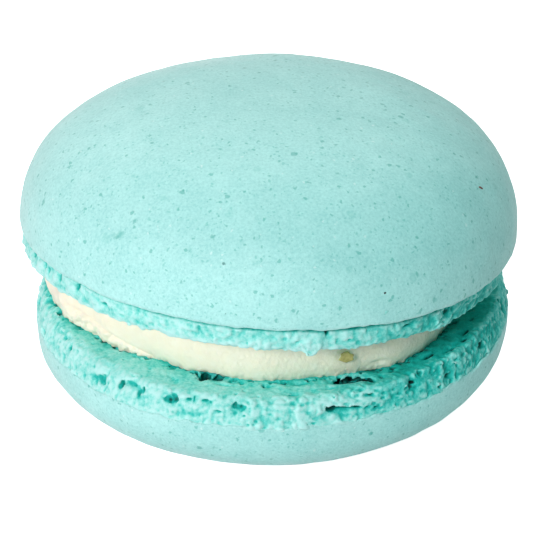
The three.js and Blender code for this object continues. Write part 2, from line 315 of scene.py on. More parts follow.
warp_mm = add(skin_material, "ShaderNodeTexNoise", [("Vector", place_mm), ("Scale", 1 / 0.5), ("Detail", 2)])
warp_mm = add(skin_material, "ShaderNodeVectorMath", [
    (0, warp_mm.outputs["Color"]), (1, (0.6, 0.6, 0.6)), (2, place_mm),
], operation="MULTIPLY_ADD").outputs[0]
# The last row's pale dots are painted glints; the other rows are pinholes and spots of the skin's own
# colour.
for spacing, least, size, amount, spot_colour, seed_shift in (
    (0.42, 0.0, 0.16, 0.3, "#27b8ac", 17.3), (0.75, 0.0, 0.22, 0.5, "#1faea2", 7.7),
    (1.4, 0.2, 0.3, 0.5, "#24aa9f", 3.1), (2.7, 0.4, 0.6, 0.2, "#3fbfb4", 11.3),
    (3.4, 0.6, 0.17, 0.8, "#2b7f7a", 23.9), (0.9, 0.2, 0.16, 0.6, "#dcfbf8", 31.7),
):
    skin_colour = spotted(skin_material, skin_colour, warp_mm, spacing, least, size, amount, spot_colour,
                          seed_shift)
for blotch_place in ((-13.4, -15.5, 25.5), (-12.8, -15.7, 25.7)):
    blotch_way = add(skin_material, "ShaderNodeVectorMath", [
        (0, warp_mm), (1, blotch_place),
    ], operation="DISTANCE")
    blotch_share = add(skin_material, "ShaderNodeMapRange", [
        ("Value", blotch_way.outputs["Value"]), ("From Min", 0.45), ("From Max", 0.1), ("To Max", 0.6),
    ])
    skin_colour = add(skin_material, "ShaderNodeMix", [
        (0, blotch_share.outputs[0]), (6, skin_colour), (7, colour("#3fb8ad")),
    ], data_type="RGBA").outputs[2]
grain = add(skin_material, "ShaderNodeTexNoise", [
    ("Vector", place_mm), ("Scale", 1 / 0.28), ("Detail", 3), ("Roughness", 0.65),
]).outputs["Fac"]
bump = add(skin_material, "ShaderNodeBump", [
    ("Height", grain), ("Distance", 0.045 * MM), ("Strength", 0.7),
])
cover(skin_material, [
    ("Base Color", skin_colour), ("Roughness", 0.55), ("IOR", 1.47), ("Normal", bump.outputs[0]),
    ("Sheen Weight", 0.25), ("Sheen Roughness", 0.4),
    ("Subsurface Weight", 0.12), ("Subsurface Radius", (0.6, 1.0, 1.0)), ("Subsurface Scale", 0.8 * MM),
])

points, faces = skin_mesh(LOWER, 41)
LOWER_TURN = Matrix.Diagonal((1, 1, -1))
points = place(points, LOWER_TURN, LOWER_MIDDLE)
lower_skin = make_piece("lower_skin", points, faces, skin_material, mirrored=True)
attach(lower_skin, "root")
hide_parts("lower_shell")


# The foot and baked face of the lower shell. In the oven the batter lifts off the mat and foams out
# under its dried skin, so the foot is an open crumb of broken bubbles and lumps, deeper in colour
# than the skin. It is worked out as a field round the ring: inside the crumb where it is below 0.
WALL_BOW = 0.12
FIRST_MARK = 0.35            # the nearest that a bump or pit drawn at random lies to the skin edge
BUMP_SIZE = (0.7, 1.5)       # least and most
BUMP_RISE = (0.12, 0.34)
PIT_SIZE = (0.45, 0.85)
PIT_RISE = (-0.95, -0.35)
SHARP_ANGLE = -30            # the foot's edge is sharpest about there, on the right
SHARP_REACH = 42
RING_INSIDE = 15.9
RING_OUTSIDE = 23.6


def make_random(seed):
    """Repeatable draws between 0 and 1, the same on every computer."""
    state = seed

    def draw():
        nonlocal state
        state = (state + 0x6D2B79F5) & 0xFFFFFFFF
        mixed = ((state ^ (state >> 15)) * (1 | state)) & 0xFFFFFFFF
        mixed = ((mixed + ((mixed ^ (mixed >> 7)) * (61 | mixed) & 0xFFFFFFFF)) & 0xFFFFFFFF) ^ mixed
        return (mixed ^ (mixed >> 14)) / 4294967296
    return draw


def turn_between(start, end):
    """The shorter way from one angle to another."""
    return (end - start + math.pi) % FULL_TURN - math.pi


def beside(angle, middle, reach, power=4):
    """1 at a middle angle and falling to 0 past a reach, both in degrees."""
    return np.exp(-(turn_between(math.radians(middle), angle) / math.radians(reach)) ** power)


def foot_marks(shell, foot):
    """Angle, place along the foot, width, height along it and rise of every large bump and pit."""
    draw = make_random(foot["seed"])
    band = shell["foot_height"] + foot["face_width"]
    marks = []
    for count, reach, rise in ((foot["bumps"], BUMP_SIZE, BUMP_RISE), (foot["pits"], PIT_SIZE, PIT_RISE)):
        for _ in range(count):
            angle = draw() * FULL_TURN
            along = FIRST_MARK + (band - FIRST_MARK) * draw()
            size = reach[0] + (reach[1] - reach[0]) * draw()
            marks.append((angle, along, size, size, rise[0] + (rise[1] - rise[0]) * draw()))
    return marks + [(math.radians(mark[0]), *mark[1:]) for mark in foot["marks"]]


def wall_radius(shell, height):
    """Radius of the foot's smooth wall at a height above the baked face."""
    share = np.clip(height / shell["foot_height"], 0, 1)
    radius = shell["foot_radius"] + (shell["foot_top_radius"] - shell["foot_radius"]) * share
    return radius + WALL_BOW * np.sin(math.pi * share)


def crease(shell, angle, height):
    """How far the foot draws in under the edge of the skin, least on the right."""
    rise = np.clip((height - shell["foot_height"] + 0.36) / 0.3, 0, 1)
    share = 1 - 0.75 * beside(angle, -25, 32)
    return shell["crease_depth"] * share * rise


def foot_angles(front_spacing, back_spacing):
    """Angles round the foot, closer together in front than behind."""
    angle = np.linspace(-math.pi, math.pi, 20001)
    front = 0.5 + 0.5 * np.cos(angle + math.pi / 2)
    spacing = back_spacing + (front_spacing - back_spacing) * np.clip(front * 1.6, 0, 1)
    weight = np.concatenate([[0], np.cumsum(21.5 * np.diff(angle) / spacing[1:])])
    count = int(weight[-1])
    return np.interp(np.arange(count) / count * weight[-1], weight, angle)


def shifted(array, axis, step):
    """The corner of every cell that lies a step along one direction. The grid closes in the first."""
    if axis == 0:
        return np.roll(array, -step, 0)
    cut = [slice(None)] * array.ndim
    cut[axis] = slice(step, array.shape[axis] - 1 + step)
    return array[tuple(cut)]


def net(field):
    """Vertices, as places in the grid, and quads of the level 0 of a field. Each cell that the level
    passes through has one vertex, in the middle of where its edges cross the level."""
    inside = field < 0
    cell_shape = (field.shape[0], field.shape[1] - 1, field.shape[2] - 1)
    total = np.zeros((*cell_shape, 3), np.float32)
    hits = np.zeros(cell_shape, np.float32)
    for axis in range(3):
        near = shifted(field, axis, 0)
        far = shifted(field, axis, 1)
        crossed = (near < 0) != (far < 0)
        share = np.where(crossed, near / np.where(near == far, 1, near - far), 0).astype(np.float32)
        first, second = [other for other in range(3) if other != axis]
        for i in (0, 1):
            for j in (0, 1):
                hit = shifted(shifted(crossed, first, i), second, j).astype(np.float32)
                hits += hit
                total[..., axis] += shifted(shifted(share, first, i), second, j)
                total[..., first] += i * hit
                total[..., second] += j * hit
    used = hits > 0
    index = np.full(cell_shape, -1, np.int64)
    index[used] = np.arange(used.sum())
    vertices = np.argwhere(used) + total[used] / hits[used][:, None]
    quads = []
    for axis, corners in enumerate((
        ((0, -1, -1), (0, 0, -1), (0, 0, 0), (0, -1, 0)),
        ((-1, 0, -1), (-1, 0, 0), (0, 0, 0), (0, 0, -1)),
        ((-1, -1, 0), (0, -1, 0), (0, 0, 0), (-1, 0, 0)),
    )):
        change = shifted(inside, axis, 0) != shifted(inside, axis, 1)
        cut = tuple(slice(None) if other in (0, axis) else slice(1, -1) for other in range(3))
        places = np.nonzero(change[cut])
        at = [where + (0 if other in (0, axis) else 1) for other, where in enumerate(places)]
        quads.append(oriented(index, inside, at, corners, field.shape[0]))
    return vertices, np.concatenate(quads), index


def oriented(index, inside, at, corners, count):
    """Quads round grid lines, turned so that they face out of the inside."""
    i, j, k = at
    quad = np.column_stack([index[(i + a) % count, j + b, k + c] for a, b, c in corners])
    flip = ~inside[i, j, k]
    quad[flip] = quad[flip][:, ::-1]
    return quad


def main_part(vertex_count, quads):
    """Which vertices belong to the largest connected part, so that loose crumbs and sealed bubbles go."""
    label = np.arange(vertex_count)
    while True:
        lowest = label[quads].min(axis=1)
        new = label.copy()
        np.minimum.at(new, quads.ravel(), np.repeat(lowest, 4))
        new = new[new]
        if (new == label).all():
            break
        label = new
    names, sizes = np.unique(label, return_counts=True)
    return label == names[sizes.argmax()]


def blob(field, grid, warp, centre, sizes, mode, soft):
    """Adds a rounded crumb to the field, or carves a bubble out of it. The warp makes its form uneven."""
    angles, radii, heights, mean = grid
    angle, radius, height = centre
    wide, deep, tall = sizes
    margin = 1.0 + (0.5 * soft + 0.3) / min(sizes)
    near = np.abs(turn_between(angle, angles)) * mean < wide * margin
    i = np.nonzero(near)[0]
    j = np.nonzero(np.abs(radii - radius) < deep * margin)[0]
    k = np.nonzero(np.abs(heights - height) < tall * margin)[0]
    if not (len(i) and len(j) and len(k)):
        return
    place_in = np.ix_(i, j, k)
    bend = warp[place_in] * min(1.0, 1.4 * min(sizes))
    a = (turn_between(angle, angles[i])[:, None, None] * mean + bend) / wide
    b = ((radii[j] - radius)[None, :, None] - 0.6 * bend) / deep
    c = ((heights[k] - height)[None, None, :] + 0.8 * bend) / tall
    distance = (np.sqrt(a * a + b * b + c * c) - 1) * min(sizes)
    here = field[place_in]
    if mode == "carve":
        blend = np.maximum(soft - np.abs(here + distance), 0) / soft
        field[place_in] = np.maximum(here, -distance) + blend * blend * soft / 4
    else:
        blend = np.maximum(soft - np.abs(here - distance), 0) / soft
        field[place_in] = np.minimum(here, distance) - blend * blend * soft / 4


def blurred(values, reach):
    """Mean of a field over a box of cells."""
    result = values
    for axis in range(3):
        total = np.zeros_like(result)
        for step in range(-reach, reach + 1):
            total += np.roll(result, step, axis)
        result = total / (2 * reach + 1)
    return result


def sampled(values, vertices):
    """Values of a grid at places between its points. The first direction closes on itself."""
    low = np.floor(vertices).astype(int)
    share = vertices - low
    total = np.zeros(len(vertices), np.float32)
    for corner in np.ndindex(2, 2, 2):
        at = low + corner
        at[:, 0] %= values.shape[0]
        at = np.minimum(at, np.array(values.shape) - 1)
        weight = np.abs(1 - np.array(corner) - share).prod(axis=1)
        total += weight * values[tuple(at.T)]
    return total


def on_foot(shell, along):
    """Radius, height and outward direction at a place along the foot's smooth form."""
    if along < shell["foot_height"]:
        height = shell["foot_height"] - along
        return float(wall_radius(shell, height)), height, (1.0, 0.0)
    return shell["foot_radius"] - (along - shell["foot_height"]), 0.0, (0.0, -1.0)


def foot_mesh(shell, foot):
    """The ragged ring as points and quads, closed at the back, and the shares that colour it."""
    seed = foot["seed"]
    angles = foot_angles(foot["front_spacing"], foot["back_spacing"])
    radii = np.arange(RING_INSIDE, RING_OUTSIDE, foot["front_spacing"])
    heights = np.arange(-0.7, shell["foot_height"] + 0.6, foot["front_spacing"])
    mean = shell["foot_radius"]
    grid = (angles, radii, heights, mean)
    angle = angles[:, None, None].astype(np.float32)
    radius = radii[None, :, None].astype(np.float32)
    height = heights[None, None, :].astype(np.float32)
    sharp = beside(angle, SHARP_ANGLE, SHARP_REACH)
    rounding = foot["edge_rounding"][0] + (foot["edge_rounding"][1] - foot["edge_rounding"][0]) * sharp
    down = rounding - height

    def solid(drawn_in):
        across = radius - wall_radius(shell, height) + drawn_in + rounding
        past_edge = np.hypot(np.maximum(across, 0), np.maximum(down, 0))
        return np.minimum(np.maximum(across, down), 0) + past_edge - rounding

    smooth_form = solid(0)
    field = solid(crease(shell, angle, height))
    bare = field.copy()

    # Large bumps and pits, from their places along the foot, and ridges that slant up its right side.
    step = 0.08
    band = np.arange(-0.8, shell["foot_height"] + foot["face_width"] + 2.0, step)
    table = np.zeros((len(angles), len(band)), np.float32)
    for mark_angle, along, wide, tall, rise in foot_marks(shell, foot):
        side = turn_between(mark_angle, angles)[:, None] * mean / wide
        square = side ** 2 + ((band - along) / tall)[None, :] ** 2
        table += foot["mark_share"] * rise * np.exp(-square * (square if rise < 0 else 1))
    ridges = foot["ridges"]
    window = beside(angles, ridges["angle"], ridges["reach"])[:, None]
    window = window * np.clip((shell["foot_height"] + 0.3 - band) / 0.4, 0, 1)[None, :]
    line = (angles[:, None] * mean + ridges["slant"] * band[None, :]) / ridges["spacing"]
    line = line + 0.3 * ripple(angles[:, None] * mean, band[None, :], 0, 1.4, seed + 9)
    table += window * ridges["height"] * (0.6 - 1.5 * np.abs(np.sin(math.pi * line)) ** 0.7)
    rim = foot["rim"] * np.exp(-((band - shell["foot_height"]) / 0.25) ** 2)
    table += rim[None, :] * sharp[:, :, 0]
    for turn, along, wide, tall, _ in foot["carved"]:
        side = turn_between(math.radians(turn), angles)[:, None] * mean / (1.5 * wide + 0.12)
        table -= 0.16 * np.exp(-side ** 2 - ((band - along) / (1.5 * tall + 0.12))[None, :] ** 2)
    table = np.clip(table, -1.35, 0.5)
    along = shell["foot_height"] - height[0] + np.maximum(0, shell["foot_radius"] - radius[0])
    row = np.clip((along - band[0]) / step, 0, len(band) - 1.001)
    low = row.astype(int)
    raised = table[:, low] * (1 - (row - low)) + table[:, low + 1] * (row - low)

    # Crumb: soft lumps with creases between them, and finer unevenness.
    x = radius * np.cos(angle)
    y = radius * np.sin(angle)
    lumps = np.abs(ripple(x, y, height, 2.8, seed + 1)) * 0.17 - 0.13
    lumps = lumps + np.abs(ripple(x, y, height, 1.2, seed + 2)) * 0.12 - 0.09
    warp = ripple(x, y, height, 1.3, seed + 4) * 0.16 + ripple(x, y, height, 0.5, seed + 3) * 0.09
    lumps = lumps + np.abs(ripple(x, y, height, 0.8, seed + 7)) * 0.04 - 0.03
    rough_angles, rough_shares = zip(*foot["lumps"])
    lumps = lumps * np.interp(np.degrees(angle), rough_angles, rough_shares)
    lumps = lumps + ripple(x, y, height, 0.65, seed + 5) * 0.03 + ripple(x, y, height, 0.4, seed + 6) * 0.012
    at_wall = np.clip((radius - (shell["foot_radius"] - 1.0)) / 0.8, 0, 1)
    raised = raised + lumps * (foot["face_raggedness"] + (1 - foot["face_raggedness"]) * at_wall)
    edge = cream_radius(angle) / round_factor(shell, angle)
    clear = np.clip((radius - edge - 0.15) / 0.5, 0, 1)
    clear = np.maximum(clear, np.clip((radius - shell["foot_radius"] + 0.4) / 0.4, 0, 1))
    raised = np.where(raised > 0, raised * clear, raised)
    shown = np.clip((radius - RING_INSIDE - 0.5) / 0.6, 0, 1)
    shown = shown * np.clip((shell["foot_height"] + 0.4 - height) / 0.25, 0, 1)
    field = field - raised * shown

    # Broken bubbles and small crumbs, many small and few large ones, then those with a place of their own.
    random = np.random.default_rng(seed)
    length = shell["foot_height"] + foot["face_width"]
    for mode, count, least, most, lift, soft, turns, reach in foot["blobs"]:
        for _ in range(count):
            turn = math.radians(random.uniform(*turns))
            size = least * (most / least) ** (random.uniform() ** 1.8)
            long = 0.1 + (length - 0.2) * random.uniform(0, reach)
            flat = random.uniform(0.55, 1.0)
            wide = size * random.uniform(0.9, 1.6)
            r, h, out = on_foot(shell, long)
            if mode == "grow" and h == 0 and r < edge_at(shell, turn) + 0.3 + size:
                continue
            shift = size * random.uniform(*lift)
            centre = (turn, r + out[0] * shift, h + out[1] * shift)
            blob(field, grid, warp, centre, (wide, size * flat, size * flat), mode, soft)
    for turn, long, wide, tall, deep in foot["grown"]:
        r, h, out = on_foot(shell, long)
        blob(field, grid, warp, (math.radians(turn), r - 0.3 * deep, h), (wide, deep, tall), "grow", 0.12)
    for turn, long, wide, tall, deep in foot["carved"]:
        r, h, out = on_foot(shell, long)
        sunk = 0.5 * max(0.0, deep - 1)      # the deepest start below the surface
        deep = deep - sunk
        sizes = (1.2 * wide, deep, 1.2 * tall) if out[0] else (1.2 * wide, 1.2 * tall, deep)
        centre = (math.radians(turn), r - out[0] * sunk, h - out[1] * sunk)
        blob(field, grid, warp, centre, sizes, "carve", 0.05)
    for turn, long, wide, tall, deep, down in foot["undercuts"]:
        r, h, out = on_foot(shell, long)
        blob(field, grid, warp, (math.radians(turn), r, h + down), (wide, tall, deep), "carve", 0.05)
    for _ in range(foot["edge_pits"]):
        turn = random.uniform(-math.pi, math.pi)
        size = random.uniform(0.1, 0.22)
        r = edge_at(shell, turn) + random.uniform(0.1, 0.55)
        sizes = (size * random.uniform(0.8, 2.0), size, 2 * size)
        blob(field, grid, warp, (turn, r, 0.0), sizes, "carve", 0.04)

    # Nothing is raised or carved at the hidden ends, where the ring is closed at the back.
    field = np.where(shown > 0, field, bare)

    vertices, quads, index = net(field)
    hollow = blurred((field < 0).astype(np.float32), 2)
    broad = blurred((field < 0).astype(np.float32), 7)
    part = main_part(len(vertices), quads)
    quads = quads[part[quads].all(axis=1)]

    # Back to angle, radius and height, and to points round the shell.
    cell = vertices[:, 0].astype(int)
    cell = np.minimum(cell, len(angles) - 1)
    next_angle = np.append(angles[1:], angles[0] + FULL_TURN)
    turn = angles[cell] + (vertices[:, 0] - cell) * (next_angle[cell] - angles[cell])
    r = np.interp(vertices[:, 1], np.arange(len(radii)), radii)
    h = np.interp(vertices[:, 2], np.arange(len(heights)), heights)
    from_cream = np.maximum(r - cream_radius(turn) / round_factor(shell, turn), 0)
    right = beside(turn, SHARP_ANGLE, SHARP_REACH)
    near_lip = np.clip((h - shell["foot_height"] + 0.75) / 0.5, 0, 1)
    # hollow, sunk and depth measure how far into a hollow a point lies; the crumb's material paints it
    # darker there as painted shade.
    values = {
        "hollow": sampled(hollow, vertices) * 2 - 1,
        "sunk": sampled(broad, vertices) * 2 - 1,
        "depth": np.maximum(-sampled(smooth_form, vertices), -0.05),
        # The next two are painted shade: darker beside the cream, partly the cream's moisture and partly
        # shade under the upper shell, wider on the right; and darker on the right side and just under the
        # skin's lip.
        "beside_cream": np.exp(-from_cream / (0.8 + 1.4 * right)) * np.clip(1 - (h - 0.3) / 0.6, 0, 1),
        "painted_shade": 0.3 * right + foot["lip_painted_shade"] * near_lip * (1 - right),
    }
    spread = shell["spread"] * beside(turn, 180, 34, 2)
    spread = spread * np.clip(1 - h / (1.2 * shell["foot_height"]), 0, 1)
    spread = spread * np.clip(r - shell["foot_radius"] + 1, 0, 1)
    reach = (r + spread) * round_factor(shell, turn)
    points = np.column_stack([reach * np.cos(turn), reach * np.sin(turn), h])

    # The back: from the inner end up through the body of the shell to the top end.
    inner = index[:, 0, :].max(axis=1)
    top = index[:, :, -1].max(axis=1)
    deeper = []
    for back_radius, back_height in ((16.0, 1.4), (19.0, 3.3)):
        reach = back_radius * round_factor(shell, angles)
        level = np.full(len(angles), back_height)
        deeper.append(np.column_stack([reach * np.cos(angles), reach * np.sin(angles), level]))
    start = len(points)
    points = np.concatenate([points, *deeper])
    count = len(angles)
    loops = [inner, start + np.arange(count), start + count + np.arange(count), top]
    for here, there in zip(loops[:-1], loops[1:]):
        strip = np.column_stack([here, there, np.roll(there, -1), np.roll(here, -1)])
        quads = np.concatenate([quads, strip])
    for name in values:
        values[name] = np.concatenate([values[name], np.zeros(2 * count)])
    used = np.zeros(len(points), bool)
    used[quads.ravel()] = True
    renumber = np.cumsum(used) - 1
    return points[used], renumber[quads].tolist(), {name: value[used] for name, value in values.items()}


# The cream's outline, which the crumb under it needs too: radius at an angle, in degrees.
CREAM_RADII = [
    (-180, 20.9), (-163, 20.1), (-148, 18.5), (-125, 17.2), (-95, 17.35), (-80, 17.2), (-66, 17.5),
    (-52, 18.3), (-25, 17.8), (20, 17.8), (90, 19.2), (140, 20.0), (180, 20.9),
]
CREAM_NOTCH = {"angle": -108.5, "reach": 3.4, "depth": 0.7}
CREAM_FOLD = [(-162, 2.1), (-155, 1.74), (-145, 1.4), (-134, 0.6), (-127, 0.1)]     # height at an angle
CREAM_DENT = {"angle": -58.5, "reach": 2.3, "height": 0.72, "tall": 0.26, "depth": 0.3}


def cream_radius(angle):
    """Radius of the cream's foot at an angle, eased between the named radii."""
    turned = np.degrees(turn_between(0, angle))
    named = np.array(CREAM_RADII)
    last = np.clip(np.searchsorted(named[:, 0], turned, side="right") - 1, 0, len(named) - 2)
    share = (turned - named[last, 0]) / (named[last + 1, 0] - named[last, 0])
    share = share * share * (3 - 2 * share)
    return named[last, 1] + (named[last + 1, 1] - named[last, 1]) * share


def cream_notch(angle):
    """How far the cream's foot is drawn in at its small notch."""
    away = (np.degrees(turn_between(0, angle)) - CREAM_NOTCH["angle"]) / CREAM_NOTCH["reach"]
    return CREAM_NOTCH["depth"] * np.exp(-away * away)


def edge_at(shell, angle):
    return float(cream_radius(np.array([angle]))[0] / round_factor(shell, angle))


LOWER_FOOT = {
    "seed": 907, "bumps": 230, "pits": 84, "face_width": 4.6,
    "front_spacing": 0.115, "back_spacing": 0.27, "edge_rounding": (0.75, 0.3), "face_raggedness": 0.35,
    "mark_share": 0.22, "edge_pits": 230,
    "lumps": [
        (-180, 0.6), (-150, 0.4), (-108, 0.45), (-88, 0.75), (-60, 0.62), (-30, 0.45), (0, 0.6), (180, 0.7),
    ],
    "ridges": {"angle": -28, "reach": 27, "slant": -1.1, "spacing": 0.8, "height": 0.1},
    "rim": 0.17, "lip_painted_shade": 0.0, "grown": [],
    "marks": [
        (-108, 5.8, 1.4, 0.8, -1.3), (-69, 4.4, 2.2, 0.35, -0.8), (-54, 1.3, 0.7, 1.0, -0.9),
    ],
    "blobs": [
        ("grow", 70, 0.18, 0.46, (-0.85, -0.5), 0.16, (-180, 180), 1.0),
        ("carve", 480, 0.1, 0.19, (0.0, 0.7), 0.03, (-180, 180), 1.0),
        ("carve", 34, 0.2, 0.34, (0.0, 0.5), 0.04, (-180, 180), 1.0),
        ("carve", 190, 0.12, 0.26, (0.0, 0.6), 0.04, (-100, 10), 0.34),
    ],
    "carved": [
        (-135.6, 0.82, 0.45, 0.32, 0.6), (-134.9, 1.1, 0.18, 0.3, 0.5), (-137.2, 0.76, 0.36, 0.13, 0.4),
        (-129.2, 1.25, 0.28, 0.42, 0.6), (-126.8, 1.6, 0.6, 0.17, 0.5), (-123.9, 1.15, 0.2, 0.44, 0.5),
        (-123.0, 1.55, 0.15, 0.26, 0.5), (-115.9, 1.35, 0.5, 0.34, 0.5), (-114.4, 1.52, 0.3, 0.28, 0.7),
        (-110.9, 1.66, 0.32, 0.1, 0.5), (-109.6, 1.86, 0.11, 0.26, 0.5), (-106.8, 1.76, 0.36, 0.1, 0.6),
        (-105.6, 1.66, 0.2, 0.09, 0.5), (-98.6, 1.68, 0.55, 0.42, 0.4), (-99.6, 1.68, 0.2, 0.36, 0.7),
        (-98.4, 1.38, 0.4, 0.12, 0.5), (-103.3, 1.1, 0.26, 0.08, 0.35), (-76.2, 1.16, 0.46, 0.25, 2.0),
        (-74.2, 1.05, 0.3, 0.1, 1.4), (-72.0, 0.98, 0.7, 0.05, 0.6), (-69.5, 0.88, 0.3, 0.08, 0.8),
        (-66.8, 0.72, 0.5, 0.05, 0.5), (-64.8, 0.52, 0.2, 0.08, 0.5),
        (-85.6, 1.92, 0.25, 0.1, 0.4), (-65.7, 1.7, 0.3, 0.1, 0.4), (-54.1, 1.37, 0.3, 0.42, 0.7),
        (-50.7, 2.05, 0.3, 0.2, 0.5), (-42.3, 0.67, 0.34, 0.2, 0.6), (-27.1, 1.07, 0.42, 0.3, 0.6),
        (-164.5, 0.2, 0.26, 0.16, 0.5), (-153.2, 1.76, 0.26, 0.14, 0.4), (-149.4, 1.58, 0.2, 0.16, 0.4),
        (-110.6, 5.4, 0.44, 0.6, 2.2), (-106.7, 5.72, 0.78, 0.46, 1.3), (-72.0, 4.72, 0.4, 0.22, 1.8),
        (-70.0, 4.5, 0.6, 0.34, 2.4), (-67.6, 4.33, 0.8, 0.34, 2.4), (-64.9, 4.1, 0.55, 0.32, 2.2),
        (-62.9, 3.6, 0.24, 0.4, 1.6), (-59.9, 3.62, 0.16, 0.2, 0.5), (-56.1, 3.87, 0.3, 0.15, 0.9),
        (-101.8, 5.2, 0.32, 0.13, 0.8),
        (-99.1, 5.05, 0.18, 0.15, 0.9), (-92.8, 4.8, 0.14, 0.24, 0.9), (-91.4, 4.7, 0.2, 0.12, 0.7),
        (-87.2, 5.3, 0.3, 0.16, 0.8), (-82.6, 4.9, 0.5, 0.12, 0.7), (-75.0, 3.64, 0.45, 0.1, 0.4),
        (-85.0, 3.2, 0.4, 0.1, 0.4), (-31.2, 2.72, 0.4, 0.16, 1.1), (-43.6, 3.58, 0.6, 0.14, 1.1),
        (-37.1, 2.8, 0.6, 0.14, 1.0), (-27.5, 3.2, 0.5, 0.14, 1.0), (-103.6, 4.5, 0.5, 0.06, 0.3),
    ],
    "undercuts": [
        (-110.5, 6.0, 0.6, 0.7, 0.5, 0.72), (-106.5, 6.4, 0.9, 0.6, 0.4, 0.6),
        (-71.0, 5.15, 0.8, 0.7, 0.5, 0.78), (-68.0, 5.0, 1.1, 0.8, 0.52, 0.82),
        (-65.0, 4.75, 0.8, 0.7, 0.5, 0.78), (-62.7, 4.1, 0.4, 0.5, 0.45, 0.7),
    ],
}
# Baked meringue crumb: matt, nearly as pale as the skin on its crests and stained at random with deeper
# colour.
# Its colour is also painted paler on crests and deeper, down to near black, in hollows and broken bubbles,
# beside the cream, on the right side and under the skin's lip: painted light and shade, with some of the
# crumb's own deeper colour inside and where the cream moistens it.
crumb_material = new_material("meringue_crumb")
crumb_mm = object_mm(crumb_material)
stain = add(crumb_material, "ShaderNodeTexNoise", [
    ("Vector", crumb_mm), ("Scale", 1 / 1.3), ("Detail", 5), ("Roughness", 0.65),
]).outputs["Fac"]
speckle = add(crumb_material, "ShaderNodeTexNoise", [
    ("Vector", crumb_mm), ("Scale", 1 / 0.22), ("Detail", 2), ("Roughness", 0.6),
]).outputs["Fac"]
# The two noises are the crumb's own tone; the measured shares below paint shade into the ramp, down to its
# near-black end.
stain_and_painted_shade = -0.52
for source, weight in (
    (stain, 0.95), (speckle, 0.45), ("hollow", 0.5), ("sunk", 0.25), ("depth", 0.85), ("beside_cream", 0.45),
    ("painted_shade", 1.0),
):
    if isinstance(source, str):
        source = add(crumb_material, "ShaderNodeAttribute", attribute_name=source).outputs["Fac"]
    stain_and_painted_shade = add(crumb_material, "ShaderNodeMath", [
        (0, source), (1, weight), (2, stain_and_painted_shade),
    ], operation="MULTIPLY_ADD").outputs[0]
stain_and_painted_shade = add(crumb_material, "ShaderNodeMath", [(0, stain_and_painted_shade), (1, 0.6)], operation="MULTIPLY").outputs[0]
ramp = add(crumb_material, "ShaderNodeValToRGB", [(0, stain_and_painted_shade)])
ramp.color_ramp.elements[0].color = colour("#b7efeb")
ramp.color_ramp.elements[1].color = colour("#01221f")
ramp.color_ramp.elements[1].position = 0.88
for position, step_colour in (
    (0.13, "#92e4dc"), (0.24, "#5cd3c9"), (0.36, "#1cbbb0"), (0.5, "#06a69b"), (0.64, "#04776e"),
):
    ramp.color_ramp.elements.new(position).color = colour(step_colour)
relief = add(crumb_material, "ShaderNodeTexNoise", [
    ("Vector", crumb_mm), ("Scale", 1 / 0.16), ("Detail", 3), ("Roughness", 0.6),
]).outputs["Fac"]
crumb_bump = add(crumb_material, "ShaderNodeBump", [
    ("Height", relief), ("Distance", 0.05 * MM), ("Strength", 0.6),
])
cover(crumb_material, [
    ("Base Color", ramp.outputs[0]), ("Roughness", 0.6), ("Specular IOR Level", 0.28),
    ("Normal", crumb_bump.outputs[0]),
    ("Subsurface Weight", 0.1), ("Subsurface Radius", (0.5, 1.0, 1.0)), ("Subsurface Scale", 0.35 * MM),
])

points, faces, values = foot_mesh(LOWER, LOWER_FOOT)
lower_foot = make_piece("lower_foot", place(points, LOWER_TURN, LOWER_MIDDLE), faces, crumb_material,
                        mirrored=True, shares=values)
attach(lower_foot, "root")
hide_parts("lower_shell")


# The cream. Ivory buttercream is piped on the lower shell and pressed out by the upper one, so its
# side bulges, and its lower edge is ragged where it was dragged over the crumb.
GAP_AT_MIDDLE = 3.85
UPPER_ROLL = math.radians(2.6)
UPPER_PITCH = math.radians(-5.7)
UPPER_SHIFT = (-0.1, -0.18)
CREAM_BULGE = 0.45
UPPER_TURN = Matrix.Rotation(UPPER_ROLL, 3, "Y") @ Matrix.Rotation(UPPER_PITCH, 3, "X")


def gap_at(x, y):
    """Height of the upper shell's baked face above the lower one's, over one point."""
    normal = UPPER_TURN @ Vector((0, 0, 1))
    return GAP_AT_MIDDLE - (normal.x * (x - UPPER_SHIFT[0]) + normal.y * (y - UPPER_SHIFT[1])) / normal.z


